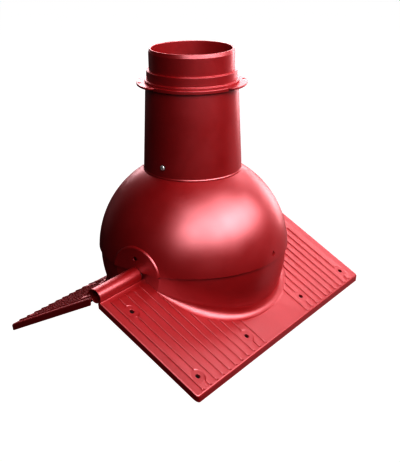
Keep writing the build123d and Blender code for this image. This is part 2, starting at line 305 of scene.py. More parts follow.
def course_height(x, s):
    """Height of the lapped courses over the sheet."""
    x, s = np.asarray(x, float), np.asarray(s, float)
    i = np.floor((x + 0.35) / RIB + 1e-9)
    t = x - i * RIB                        # distance past the riser, towards +x
    u = np.clip((t - 1.9) / (RIB - 0.35 - 1.9), 0, 1)
    h = np.where(t < 1.9, np.interp(t, STEP_T, STEP_H), 0.22 + 1.58 * (1 - u ** 1.25))
    # the middle courses run together as one plain panel
    edge = 4 * RIB
    first = np.where(t < 1.9, np.interp(t, STEP_T, STEP_H), PAD_H + (1.80 - PAD_H) * (1 - u))
    last = 0.22 + (PAD_H - 0.22) * (1 - u)
    h = np.where((x > -edge - 0.35) & (x < -edge + RIB - 0.35), first, h)
    h = np.where((x >= -edge + RIB - 0.35) & (x < edge - RIB - 0.35), PAD_H, h)
    h = np.where((x >= edge - RIB - 0.35) & (x < edge - 0.35), last, h)
    # plain pads round the fixing holes
    for hx, hs in HOLES:
        for sg in (-1, 1):
            d = np.hypot(x - sg * hx, s - hs)
            k = sstep((d - (PAD_R - 1.2)) / 2.6)
            h = PAD_H + (h - PAD_H) * k
    m = sstep((x + 264.6 + 0.5) / 0.5) * sstep((264.6 - 0.3 - x) / 0.3)
    m *= sstep((s - 20.0) / 8.0) * sstep((238.2 - s) / 1.8)
    rho = np.hypot(x, s)
    al = np.arctan2(x, s)
    rf = foot_rf(al)
    foot = np.sqrt((R_SKIRT + rf) ** 2 - rf ** 2)
    foot = np.where(np.abs(al) > ALPHA_MAX, 176.0, foot)
    m *= sstep((rho - foot - 0.2) / 3.4)
    return h * m


def plate_slab(sh):
    e = 3.4
    # outline of the three outer sides, from one ridge end round to the other
    rc = 6.0
    path = []
    for s in np.concatenate([[12.6, 13.2, 14.0, 15.0, 16.2, 17.5, 18.6, 22], np.linspace(30, S_EAVE - rc, 14)]):
        path.append((-W, float(s), -1.0, 0.0))
    for k in range(1, 9):
        a = pi / 2 * k / 8
        path.append((-W + rc - rc * cos(a), S_EAVE - rc + rc * sin(a), -cos(a), sin(a)))
    for x in np.linspace(-W + rc, W - rc, 36)[1:-1]:
        path.append((float(x), S_EAVE, 0.0, 1.0))
    n_half = len(path)
    right = [(-a, b, -c, d) for a, b, c, d in path[::-1] if True]
    seen = set()
    full = []
    for q in path + right:
        key = (round(q[0], 4), round(q[1], 4))
        if key not in seen:
            seen.add(key)
            full.append(q)
    # edge profile (out of the outline, height), draft on the eave
    rows = []
    ang = [pi / 2 * i / 6 for i in range(7)]
    for x, s, nx, ns in full:
        ramp = float(np.clip((s - S_RIDGE) / 5.0, 0.0, 1.0))
        dep = 4.2 + (LIP - 4.2) * ramp
        w = ns
        rr = e
        db = 0.35 + 0.45 * ramp
        dr = DRAFT * w

        def off(h):
            return dr * float(np.clip((-h - 1.2) / (LIP - 1.2), 0, 1))
        pts_ = [(-e + rr * sin(a), -2.6 * (1 - cos(a))) for a in ang]
        # outer face down to the rounded lower edge, then back up inside
        for i in range(4):
            a = pi / 2 * i / 3
            pts_.append((-db * (1 - cos(a)), -dep + db * (1 - sin(a))))
        for i in range(3):
            a = pi / 2 * i / 2
            pts_.append((-2.4 - 0.3 * i / 2, -dep + db * (1 - cos(a))))
        pts_.append((-T, -T - 0.6))
        pts_.append((-T - 1.0, -T))
        rows.append([(x + nx * o, s + ns * o + off(h), h) for o, h in pts_])
    m = len(rows[0])
    nr = len(rows)
    top_sw = [(r[0][0], r[0][1]) for r in rows]
    bot_sw = [(r[-1][0], r[-1][1]) for r in rows]
    # inner side of the sheet, hidden in the roll and in the skirt's wall
    rb = 173.0
    xb = 166.5
    sb = sqrt(rb * rb - xb * xb)
    inner = [(x, 13.9) for x in np.linspace(270, xb + 1.0, 10)] + [(xb, 13.9), (xb, 30.0)]
    a1 = atan2(xb, sb)
    inner += [(rb * sin(a), rb * cos(a)) for a in np.linspace(a1, -a1, 110)]
    inner += [(-xb, 30.0), (-xb, 13.9)] + [(-x, 13.9) for x in np.linspace(xb + 1.0, 270, 10)]
    holes_t = []
    for hx, hs in HOLES:
        for sg in (-1, 1):
            holes_t.append((sg * hx, hs))
    NH = 32
    hl_top = [circle(cx, cy, HOLE_R + 0.55, NH) for cx, cy in holes_t]
    hl_bot = [circle(cx, cy, HOLE_R, NH) for cx, cy in holes_t]
    # feature lines
    lines = []
    n = 14
    for i in range(-n, n + 1):
        if -4 < i < 4 and abs(i) != 3:
            continue
        x0 = i * RIB
        offs = STEP_T if abs(i) != 3 and i != n else (-0.35,) if i != n else (-0.35, 0.0)
        if i == -n:
            offs = [-0.5] + STEP_T
        for o in offs:
            x = x0 + o
            rho0 = 178.5
            s0 = 19.4
            if abs(x) < rho0:
                s0 = max(19.4, sqrt(max(rho0 * rho0 - x * x, 0)))
            ss = [s0] + [v for v in (20.0, 21.5, 23.0, 24.5, 26.0, 28.2) if v > s0 + 0.3]
            ss += [v for v in np.arange(34.0, 234.0, 8.0) if v > ss[-1] + 2.0]
            ss += [236.4, 237.3, 238.2, 238.8]
            lines.append([(x, v) for v in ss])
    for cx, cy in holes_t:
        for r in (PAD_R - 1.2, PAD_R - 0.5, PAD_R + 0.1, PAD_R + 0.7, PAD_R + 1.4):
            c = circle(cx, cy, r, 56)
            lines.append(c + [c[0]])
        c = circle(cx, cy, 7.5, 32)
        lines.append(c + [c[0]])
    for d in (0.2, 1.2, 2.2, 3.6):
        al = np.linspace(-ALPHA_MAX * 0.985, ALPHA_MAX * 0.985, 150)
        rf = foot_rf(al)
        ft = np.sqrt((R_SKIRT + rf) ** 2 - rf ** 2) + d
        lines.append([(f * sin(a), f * cos(a)) for f, a in zip(ft, al) if f * cos(a) > 20])
    # sheet between courses and edge
    lines.append([(x, 239.0) for x in np.linspace(-276, 276, 60)])
    loop_t = top_sw + inner
    loop_b = bot_sw + inner
    v2, tri, ids = cdt([loop_t] + hl_top, lines)
    hx = course_height(v2[:, 0], v2[:, 1])
    edge_ids = ids[0] + sum(ids[1:], [])
    for k in ids[0]:
        hx[k] = 0.0
    verts = [world_plate(a, b, c) for (a, b), c in zip(v2, hx)]
    faces = [tuple(t) for t in tri]
    base = len(verts)
    # edge sweep: first ring reuses the top loop, last ring the bottom loop
    b2, btri, bids = cdt([loop_b] + hl_bot, [], [(x, s) for x in np.arange(-270, 271, 18.0) for s in np.arange(60, 236, 18.0) if hypot(x, s) > 178 and min(hypot(x - c[0], s - c[1]) for c in holes_t) > 7])
    bverts = [world_plate(a, b, -T) for a, b in b2]
    b0 = base
    verts += bverts
    faces += [tuple(b0 + i for i in t)[::-1] for t in btri]
    sw0 = len(verts)
    for r in rows:
        for q in r[1:-1]:
            verts.append(world_plate(*q))
    mm = m - 2

    def idx(i, j):
        if j == 0:
            return ids[0][i]
        if j == m - 1:
            return b0 + bids[0][i]
        return sw0 + i * mm + (j - 1)
    for i in range(nr - 1):
        for j in range(m - 1):
            faces.append((idx(i, j), idx(i + 1, j), idx(i + 1, j + 1), idx(i, j + 1)))
    faces.append(tuple(idx(0, j) for j in range(m)))
    faces.append(tuple(idx(nr - 1, j) for j in range(m))[::-1])
    tot = nr + len(inner)
    for i in range(nr - 1, tot):
        j = (i + 1) % tot
        faces.append((ids[0][i], ids[0][j], b0 + bids[0][j], b0 + bids[0][i]))
    # hole walls with a rounded mouth
    for k, (cx, cy) in enumerate(holes_t):
        t_ids = ids[1 + k]
        b_ids = [b0 + i for i in bids[1 + k]]
        prev = t_ids
        for rr, hh in ((HOLE_R + 0.2, PAD_H - 0.16), (HOLE_R, PAD_H - 0.55), (HOLE_R, -1.0)):
            st = len(verts)
            verts += [world_plate(a, b, hh) for a, b in circle(cx, cy, rr, NH)]
            cur = list(range(st, st + NH))
            for i in range(NH):
                j = (i + 1) % NH
                faces.append((prev[i], prev[j], cur[j], cur[i]))
            prev = cur
        for i in range(NH):
            j = (i + 1) % NH
            faces.append((prev[i], prev[j], b_ids[j], b_ids[i]))
    sh.add(verts, faces)


def ball_pt(x, phi, r):
    """Point on the ball at x, turned phi up from the horizontal on the right side."""
    rho = sqrt(max(r * r - x * x, 0.0))
    return (x, -rho * cos(phi), ZA + rho * sin(phi))


def skirt_shell(sh):
    N = 180
    al = np.linspace(-ALPHA_MAX, ALPHA_MAX, N + 1)
    cols = []
    for a in al:
        rf = float(foot_rf(a))
        rho = sqrt((R_SKIRT + rf) ** 2 - rf ** 2)
        col = [world_plate(rho * sin(a), rho * cos(a), -0.8), world_plate(rho * sin(a), rho * cos(a), 0.03)]
        end = atan2(rho, rf)
        for i in range(1, 15):
            t = -pi / 2 - end * i / 14
            q = rho + rf * cos(t)
            hh = rf + rf * sin(t)
            col.append(world_plate(q * sin(a), q * cos(a), hh))
        # tangent point, and up the ball at the same x
        x, y, z = col[-1]
        x = max(-X_SKIRT, min(X_SKIRT, x))
        ph0 = atan2(z - ZA, -y)
        for i in range(1, 31):
            ph = ph0 + (SKIRT_TOP - ph0) * i / 30
            col.append(ball_pt(x, ph, R_SKIRT))
        xi = x * (X_SKIRT - T) / X_SKIRT
        rin = R_SKIRT - T
        pb = -P - 0.018
        for i in range(0, 19):
            ph = SKIRT_TOP + (pb - SKIRT_TOP) * i / 18
            col.append(ball_pt(xi, ph, rin))
        cols.append(col)
    m = len(cols[0])
    v = [p for c in cols for p in c]
    f = []
    for k in range(N):
        for i in range(m):
            j = (i + 1) % m
            f.append((k * m + i, (k + 1) * m + i, (k + 1) * m + j, k * m + j))
    f.append(tuple(range(m)))
    f.append(tuple(N * m + i for i in range(m))[::-1])
    sh.add(v, f)


def cheeks(sh, left):
    """Flat cheeks on the skirt's ends, and the hubs on the hinge axis."""
    def yz(x, r, phi):
        return (x, -r * cos(phi), ZA + r * sin(phi))
    rim = sqrt(R_SKIRT ** 2 - X_SKIRT ** 2) + 0.02
    lo, hi = -P - 0.012, SKIRT_TOP

    def slab(poly, x0, x1, hole=None):
        """Polygon of (y, z from axis) points between two x planes, with a round hole."""
        loops = [poly] + ([circle(0, 0, hole, 40)] if hole else [])
        v2, tri, ids = cdt(loops)
        nv = len(v2)
        vs = [(x0, a, ZA + b) for a, b in v2] + [(x1, a, ZA + b) for a, b in v2]
        fs = [tuple(t) for t in tri] + [tuple(i + nv for i in t)[::-1] for t in tri]
        for lp in ids:
            for i in range(len(lp)):
                j = (i + 1) % len(lp)
                fs.append((lp[i], lp[j], lp[j] + nv, lp[i] + nv))
        sh.add(vs, fs)
    for sg in (-1, 1):
        r0 = 17.4 if left else 14.0
        wedge = [(-r0 * cos(t), r0 * sin(t)) for t in np.linspace(hi, lo, 12)]
        wedge += [(-rim * cos(t), rim * sin(t)) for t in np.linspace(lo, hi, 40)]
        slab(wedge, sg * (X_SKIRT - T), sg * X_SKIRT)
        if left:
            slab(circle(0, 0, 16.0, 72), sg * 161.4, sg * 164.4, 5.98)
            pad = [(-15 * cos(t), 15 * sin(t)) for t in np.linspace(hi, lo, 12)]
            pad += [(-34 * cos(t), 34 * sin(t)) for t in np.linspace(lo, hi, 30)]
            slab(pad, sg * 161.42, sg * 164.38)
            st = [(-17.4 * cos(t), 17.4 * sin(t)) for t in np.linspace(hi, lo, 12)]
            st += [(-33.8 * cos(t), 33.8 * sin(t)) for t in np.linspace(lo, hi, 30)]
            slab(st, sg * 163.0, sg * 166.0)
        else:
            slab(circle(0, 0, 16.0, 72), sg * 165.02, sg * 167.98, 5.98)


def rolls(sh, left):
    for sg in (-1, 1):
        x0, x1 = sorted((sg * 174.5, sg * (W if not left else W - 4.0)))
        if left:
            ro, ri = 12.2, 10.2
            prof = rounded([(x0, ri), (x1, ri), (x1, ro), (x0, ro)], 0.5, 4)
            seg = 72
            v, f = [], []
            m = len(prof)
            for k in range(seg):
                a = 2 * pi * k / seg
                v += [(x, -r * cos(a), ZA + r * sin(a)) for x, r in prof]
            for k in range(seg):
                k2 = (k + 1) % seg
                for i in range(m):
                    j = (i + 1) % m
                    f.append((k * m + i, k2 * m + i, k2 * m + j, k * m + j))
            sh.add(v, f)
            # web from the tube to the sheet
            web = rounded([(11.3, -2.95), (20.0, -2.95), (20.0, -0.05), (11.3, -0.05)], 0.05, 2)
            extrude_x(sh, web, x0 + 0.01, x1 - 0.01, 0.3, world_plate)
        else:
            ro, ri, rf = 14.7, 12.7, 2.0
            sc = sqrt((ro + rf) ** 2 - rf ** 2)
            prof = arc(sc, rf, rf, -pi / 2, -pi / 2 - atan2(sc, rf), 6)
            prof[0] = (prof[0][0] + 0.6, prof[0][1] + 0.02)
            a0 = atan2(prof[-1][1], prof[-1][0])
            a1 = radians(200.0)
            prof += arc(0, 0, ro, a0, a1 - 0.06, 56)[1:]
            mid = (ro + ri) / 2
            c = (mid * cos(a1 - 0.06), mid * sin(a1 - 0.06))
            prof += arc(c[0], c[1], 1.0, a1 - 0.06, a1 - 0.06 + pi, 8)[1:-1]
            prof += arc(0, 0, ri, a1 - 0.06, radians(-13.4), 52)
            prof += [(15.5, -2.97), (sc + 0.6, -1.0)]
            extrude_x(sh, prof, x0, x1, 0.55, world_plate)


def make_plate(name, left):
    sh = Shells()
    plate_slab(sh)
    skirt_shell(sh)
    cheeks(sh, left)
    rolls(sh, left)
    ob = sh.build(name, mirror_y=left)
    if left:
        ob.data.flip_normals() if False else None
    weighted(ob)
    ball_normals(ob, ZA * 0.001, [R_SKIRT, R_SKIRT - T])
    return ob


# ------------------------------------------------------------------ dome
def make_dome():
    sh = Shells()
    ro, ri = R_DOME, R_DOME - T
    pol_rim = lambda r: pi / 2 - asin(RIM / r)
    r_cut = 50.5
    hole_pol = pi / 2 - atan2(22.7, 176.5)

    def loops(r, zc, rim):
        """Outline of the ball wall seen down the neck: rim, ear cut-outs, neck hole, side holes."""
        def dom(x, y, z):
            q = sqrt(x * x + y * y + z * z)
            th = np.arccos(z / q)
            a = atan2(y, x)
            return (th * cos(a) * 178.0, th * sin(a) * 178.0)
        xe = sqrt(r * r - r_cut * r_cut)
        ph0 = asin(RIM / r_cut)
        out = []
        # rim on the +y side runs from the +x ear to the -x ear, and so on round
        ye = r_cut * cos(ph0)
        az0 = atan2(ye, xe)
        rr = sqrt(r * r - rim * rim)
        for a in np.linspace(az0, pi - az0, 150):
            out.append(dom(rr * cos(a), rr * sin(a), rim))
        for ph in np.linspace(ph0, pi - ph0, 50)[1:-1]:
            out.append(dom(-xe, r_cut * cos(ph), r_cut * sin(ph)))
        for a in np.linspace(pi + az0, 2 * pi - az0, 150):
            out.append(dom(rr * cos(a), rr * sin(a), rim))
        for ph in np.linspace(pi - ph0, ph0, 50)[1:-1]:
            out.append(dom(xe, r_cut * cos(ph), r_cut * sin(ph)))
        lp = [out]
        tn = asin(83.1 / r)
        lp.append([(tn * cos(a) * 178, tn * sin(a) * 178) for a in np.linspace(0, 2 * pi, 193)[:-1]])
        for sg in (-1, 1):
            c = []
            for k in range(28):
                t = 2 * pi * k / 28
                x, z = zc * cos(t), 22.7 + zc * sin(t)
                c.append(dom(x, sg * sqrt(r * r - x * x - z * z), z))
            lp.append(c)
        return lp

    def lift(v2, r):
        th = np.hypot(v2[:, 0], v2[:, 1]) / 178.0
        a = np.arctan2(v2[:, 1], v2[:, 0])
        return np.stack([r * np.sin(th) * np.cos(a), r * np.sin(th) * np.sin(a), ZA + r * np.cos(th)], 1)

    def pts(lp, step):
        out = []
        k = 0
        for th in np.arange(0.50, pol_rim(178) - step / 178 * 0.6, step / 178.0):
            rr = th * 178
            n = int(2 * pi * rr * max(sin(th) / th, 0.62) / step)
            for i in range(n):
                a = 2 * pi * (i + 0.5 * (k % 2)) / n
                out.append((rr * cos(a), rr * sin(a)))
            k += 1
        q = np.array(out)
        ok = inside(lp[0], q)
        allp = np.concatenate([np.array(c) for c in lp])
        for s0 in range(0, len(q), 4000):
            d = np.min(np.hypot(q[s0:s0 + 4000, None, 0] - allp[None, :, 0], q[s0:s0 + 4000, None, 1] - allp[None, :, 1]), axis=1)
            ok[s0:s0 + 4000] &= d > step * 0.45
        for c in lp[1:]:
            ok &= ~inside(c, q)
        return q[ok]
    lo_ = loops(ro, SMALL_R + 0.3, RIM + 0.9)
    li_ = loops(ri, SMALL_R, RIM)
    # a small rounding on the rim and the holes
    vo, to, io = cdt(lo_, [], pts(lo_, 4.2))
    vi, ti_, ii = cdt(li_, [], pts(li_, 7.0))
    V = np.concatenate([lift(vo, ro), lift(vi, ri)])
    nb = len(vo)
    F = [tuple(t) for t in to] + [tuple(i + nb for i in t)[::-1] for t in ti_]
    for q, (a, b) in enumerate(zip(io, ii)):
        b = [k + nb for k in b]
        if q == 0:
            # the rim's outer edge is rounded over in two steps
            pa = V[a]
            out_dir = pa[:, :2] / np.linalg.norm(pa[:, :2], axis=1)[:, None]
            for inn, dz in ((0.16, -0.62), (0.75, -0.9)):
                ring_ = pa.copy()
                ring_[:, :2] -= out_dir * inn
                ring_[:, 2] += dz
                st = len(V)
                V = np.concatenate([V, ring_])
                cur = list(range(st, st + len(a)))
                for i in range(len(a)):
                    j = (i + 1) % len(a)
                    F.append((a[i], a[j], cur[j], cur[i]))
                a = cur
        for i in range(len(a)):
            j = (i + 1) % len(a)
            F.append((a[i], a[j], b[j], b[i]))
    sh.add(V, F)
    # ears: a shallow disc with a well rounded edge, cut level with the rim
    for sg in (-1, 1):
        def ring(x, r, n=90):
            ph0 = asin(min(1.0, RIM / r))
            return [(sg * x, r * cos(t), ZA + r * sin(t)) for t in np.linspace(ph0, pi - ph0, n + 1)]
        rr = 4.2
        prof = [(165.0, R_EAR)] + [(169.2, R_EAR)]
        prof += [(X_EAR - rr + rr * sin(t), R_EAR - rr + rr * cos(t)) for t in np.linspace(0, pi / 2, 11)]
        inner = [(X_EAR - T, R_EAR - T - 1.5), (X_EAR - T - 1.5, R_EAR - T), (165.0, R_EAR - T)]
        # flat face with its screw hole
        n = 90
        r1 = prof[-1][1]
        outer2 = [(r1 * cos(t), r1 * sin(t)) for t in np.linspace(asin(RIM / r1), pi - asin(RIM / r1), n + 1)]
        hole2 = circle(0, 31.0, SMALL_R + 0.5, 28)
        v2, tr, ids = cdt([outer2, hole2])
        r2 = inner[0][1]
        in2 = [(r2 * cos(t), r2 * sin(t)) for t in np.linspace(asin(RIM / r2), pi - asin(RIM / r2), n + 1)]
        v3, tr3, ids3 = cdt([in2, circle(0, 31.0, SMALL_R, 28)])
        V = [(sg * X_EAR, a, ZA + b) for a, b in v2]
        F = [tuple(t) for t in tr]
        n2 = len(V)
        V += [(sg * (X_EAR - T), a, ZA + b) for a, b in v3]
        F += [tuple(i + n2 for i in t)[::-1] for t in tr3]
        # rounded mouth of the hole
        st = len(V)
        V += [(sg * (X_EAR - 0.35), a, ZA + b) for a, b in circle(0, 31.0, SMALL_R + 0.05, 28)]
        for i in range(28):
            j = (i + 1) % 28
            F.append((ids[1][i], ids[1][j], st + j, st + i))
            F.append((st + i, st + j, n2 + ids3[1][j], n2 + ids3[1][i]))
        rings = []
        for x, r in prof[:-1]:
            s0 = len(V)
            V += ring(x, r, n)
            rings.append(list(range(s0, s0 + n + 1)))
        rings.append([ids[0][i] for i in range(n + 1)])
        ins = [[n2 + ids3[0][i] for i in range(n + 1)]]
        for x, r in inner[1:]:
            s0 = len(V)
            V += ring(x, r, n)
            ins.append(list(range(s0, s0 + n + 1)))
        chain = rings + ins
        # chain runs outer back edge -> face rim, then inner face rim -> inner back edge
        for a, b in list(zip(rings[:-1], rings[1:])) + list(zip(ins[:-1], ins[1:])):
            for i in range(n):
                F.append((a[i], a[i + 1], b[i + 1], b[i]))
        a, b = ins[-1], rings[0]
        for i in range(n):
            F.append((a[i], a[i + 1], b[i + 1], b[i]))
        # level cut faces at the rim: one polygon for the whole bottom
        bottom = [r_[0] for r_ in rings] + [r_[-1] for r_ in rings[::-1]]
        inner_b = [r_[0] for r_ in ins] + [r_[-1] for r_ in ins[::-1]]
        left_side = [r_[0] for r_ in rings]
        # outer chord and inner chord are joined by two wall strips and the face strip
        o0, o1 = [r_[0] for r_ in rings], [r_[-1] for r_ in rings]
        i0, i1 = [r_[0] for r_ in ins[::-1]], [r_[-1] for r_ in ins[::-1]]
        F.append(tuple(o0 + [ids3[0][0] + n2] + i0[:-1][::-1][0:0]) if False else tuple(o0 + [i0[-1]] + i0[:-1][::-1]))
        F.append(tuple((o1 + [i1[-1]] + i1[:-1][::-1])[::-1]))
        F.append((o0[-1], o1[-1], i1[-1], i0[-1]))
        sh.add(V, F)
    # upstand inside the neck, and the pivot tabs
    tr_ = 86.1 - 0.043 * 32
    revolve_z(sh, rounded([(83.1, 153.0), (86.1, 153.0), (tr_, 186.0), (tr_ - 3.0, 186.0)], [0, 0, 0.8, 0.8], 4))
    for sg in (-1, 1):
        y0 = 13.0
        zt = sqrt(176.4 ** 2 - 159.0 ** 2 - y0 ** 2)
        poly = [(y0, zt), (0, sqrt(176.4 ** 2 - 159.0 ** 2)), (-y0, zt)]
        a_ = asin(y0 / 15.0)
        poly += [(-15 * sin(t), -15 * cos(t) * -1) for t in []]
        poly += [(-15.0 * sin(t), 15.0 * cos(t)) for t in np.linspace(a_, 2 * pi - a_, 48)]
        v2, tri, ids = cdt([poly, circle(0, 0, 4.05, 32)])
        nv = len(v2)
        V = [(sg * 157.4, a, ZA + b) for a, b in v2] + [(sg * 160.4, a, ZA + b) for a, b in v2]
        F = [tuple(t) for t in tri] + [tuple(i + nv for i in t)[::-1] for t in tri]
        for lp in ids:
            for i in range(len(lp)):
                j = (i + 1) % len(lp)
                F.append((lp[i], lp[j], lp[j] + nv, lp[i] + nv))
        sh.add(V, F)
    ob = sh.build("dome_cowl_fine")
    weighted(ob)
    ball_normals(ob, ZA * 0.001, [ro, ri])
    return ob


# ------------------------------------------------------------------ neck, ring, spigot
def make_neck():
    sh = Shells()
    zb = sqrt(R_DOME ** 2 - neck_r(154) ** 2)
    zi = sqrt(R_DOME ** 2 - (neck_r(157) - T) ** 2)
    pts = [(neck_r(zi) - T, zi + 0.05), (neck_r(zb) + 0.9, zb + 0.02), (neck_r(zb) + 0.9, zb + 1.5), (neck_r(zb + 3.2), zb + 3.2),
           (neck_r(306.5), 306.5), (neck_r(306.5) - T, 306.5)]
    prof = rounded(pts, [0, 0.5, 0.7, 2.0, 0.3, 0.3], 5)
    # the profile is swept round the neck axis in 256 steps
    revolve_z(sh, prof, 256)
    ob = sh.build("neck_sleeve_fine")
    return weighted(ob)


def make_ring():
    sh = Shells()
    revolve_z(sh, rounded([(79.2, 306.5), (88.0, 306.5), (88.0, 313.0), (79.2, 313.0)], [0.2, 0.9, 1.3, 0.2], 5), 224)
    # lugs: one thin plate whose outline stands out past the ring on two sides
    lug_r, half, mid = 98.5, 43.5, -55.5
    n = 720
    rad = []
    for k in range(n):
        a = degrees(2 * pi * k / n)
        best = 82.0
        for m in (mid, mid + 180):
            d = abs((a - m + 180) % 360 - 180)
            t = (half - d)
            # straight shoulders that run into the arc with a round corner
            q = np.interp(t, [-1.5, 0.0, 2.0, 4.5, 8.0, 12.0], [82.0, 88.0, 92.5, 96.2, 98.0, lug_r])
            best = max(best, float(q))
        rad.append(best)
    rad = np.array(rad)
    ker = np.ones(5) / 5
    rad = np.convolve(np.concatenate([rad[-2:], rad, rad[:2]]), ker, "valid")
    ang = 2 * pi * np.arange(n) / n
    top, th = 312.95, 3.5
    rows = []
    for ins, z in ((0.9, top), (0.42, top - 0.10), (0.12, top - 0.38), (0.0, top - 0.9), (0.0, top - th + 0.8), (0.15, top - th + 0.3), (0.8, top - th)):
        rows.append([((r - ins) * cos(a), (r - ins) * sin(a), ZA + z) for r, a in zip(rad, ang)])
    hc = []
    for k in (0, 180):
        az = radians(-45.0 + k)
        hc.append((93.8 * cos(az), 93.8 * sin(az)))
    for face, z in ((0, top), (len(rows) - 1, top - th)):
        pass
    inner = circle(0, 0, 79.6, 224)
    o_t = [(p[0], p[1]) for p in rows[0]]
    o_b = [(p[0], p[1]) for p in rows[-1]]
    vt, tt, it = cdt([o_t, inner] + [circle(c[0], c[1], 3.5, 28) for c in hc])
    vb, tb, ib = cdt([o_b, inner] + [circle(c[0], c[1], 3.0, 28) for c in hc])
    V = [(a, b, ZA + top) for a, b in vt]
    F = [tuple(t) for t in tt]
    nb = len(V)
    V += [(a, b, ZA + top - th) for a, b in vb]
    F += [tuple(i + nb for i in t)[::-1] for t in tb]
    prev = it[0]
    for r in rows[1:-1]:
        st = len(V)
        V += r
        cur = list(range(st, st + n))
        for i in range(n):
            j = (i + 1) % n
            F.append((prev[i], prev[j], cur[j], cur[i]))
        prev = cur
    cur = [nb + i for i in ib[0]]
    for i in range(n):
        j = (i + 1) % n
        F.append((prev[i], prev[j], cur[j], cur[i]))
    a, b = it[1], [nb + i for i in ib[1]]
    for i in range(len(a)):
        j = (i + 1) % len(a)
        F.append((a[i], a[j], b[j], b[i]))
    for q in range(2):
        a = it[2 + q]
        b = [nb + i for i in ib[2 + q]]
        st = len(V)
        V += [(x, y, ZA + top - 0.4) for x, y in circle(hc[q][0], hc[q][1], 3.02, 28)]
        for i in range(28):
            j = (i + 1) % 28
            F.append((a[i], a[j], st + j, st + i))
            F.append((st + i, st + j, b[j], b[i]))
    sh.add(V, F)
    return weighted(sh.build("lug_ring_fine"))


def make_adapter():
    sh = Shells()
    pts = [(71.5, 371.5), (74.2, 371.5), (76.0, 365.0), (76.0, 333.8), (80.5, 333.8), (80.5, 317.2), (84.0, 317.0), (84.0, 313.02),
           (79.0, 313.02), (79.0, 294.0), (77.2, 294.0), (77.2, 290.0), (79.0, 290.0), (79.0, 271.0), (77.5, 268.0), (75.0, 268.0), (75.0, 322.0), (71.5, 330.0)]
    rads = [1.0, 0.9, 2.0, 0.9, 1.1, 1.2, 1.0, 0.2, 0.1, 0.2, 0.2, 0.2, 0.2, 0.6, 0.4, 0.6, 3.0, 3.0]
    revolve_z(sh, rounded(pts, rads, 5), 256)
    return weighted(sh.build("spigot_adapter_fine"))


# ------------------------------------------------------------------ foam and trim
def make_hole_shade_foam(name, left):
    """Grey foam bands under the fixing holes, with the screw holes punched through. They sit where there is only shade
    under the plate: a dark sheet standing in for painted shade, so the holes look dark.
    """
    sh = Shells()
    x0, x1, sr, s0, s1 = 237.0, 261.0, 44.0, 200.0, 225.0

    def ring(o):
        p = [(-x1 + o, sr + o), (-x0 - o, sr + o), (-x0 - o, s0 + o), (x0 + o, s0 + o), (x0 + o, sr + o), (x1 - o, sr + o), (x1 - o, s1 - o), (-x1 + o, s1 - o)]
        c = 2.4
        return rounded(p, [c - o, c - o, c + o, c + o, c - o, c - o, c - o, c - o], 5)
    outs = [ring(o) for o in (0.3, 0.05, 0.05, 0.35, 1.3)]
    hts = [-3.02, -3.4, -8.7, -9.5, -9.95]
    rads = [HOLE_R + 0.25, HOLE_R, HOLE_R, HOLE_R + 0.2, HOLE_R + 0.8]
    centres = [(sg * hx, hs) for hx, hs in HOLES for sg in (-1, 1)]
    n = 32
    for k, h in ((0, hts[0]), (4, hts[4])):
        loops = [outs[k]] + [circle(cx, cy, rads[k], n) for cx, cy in centres]
        v2, tri, ids = cdt(loops)
        sh.add([world_plate(a, b, h) for a, b in v2], tri)
    m = len(outs[0])
    v = [world_plate(a, b, hts[k]) for k in range(5) for a, b in outs[k]]
    sh.add(v, [(k * m + i, k * m + (i + 1) % m, (k + 1) * m + (i + 1) % m, (k + 1) * m + i) for k in range(4) for i in range(m)])
    for cx, cy in centres:
        v = [world_plate(a, b, hts[k]) for k in range(5) for a, b in circle(cx, cy, rads[k], n)]
        sh.add(v, [(k * n + i, k * n + (i + 1) % n, (k + 1) * n + (i + 1) % n, (k + 1) * n + i) for k in range(4) for i in range(n)])
    return weighted(sh.build(name, mirror_y=left))


def make_trim(name, left):
    """Rubber edge trim: a slim profile carried along the skirt's upper edge."""
    sh = Shells()
    sec = rounded([(R_SKIRT - T - 1.4, 0.0), (R_SKIRT + 0.13, 0.0), (R_SKIRT + 0.13, 1.55), (R_SKIRT - T - 1.4, 1.55)], 0.7, 4)
    xs = np.linspace(-149.5, 149.5, 121)
    v, f = [], []
    m = len(sec)
    for x in xs:
        for r, d in sec:
            v.append(ball_pt(x, SKIRT_TOP + radians(d), r))
    for k in range(len(xs) - 1):
        for i in range(m):
            j = (i + 1) % m
            f.append((k * m + i, (k + 1) * m + i, (k + 1) * m + j, k * m + j))
    f.append(tuple(range(m))[::-1])
    f.append(tuple((len(xs) - 1) * m + i for i in range(m)))
    sh.add(v, f)
    return weighted(sh.build(name, mirror_y=left))


# ------------------------------------------------------------------ materials
def nodes_of(name):
    m = bpy.data.materials.new(name)
    m.use_nodes = True
    nt = m.node_tree
    return m, nt, nt.nodes["Principled BSDF"]


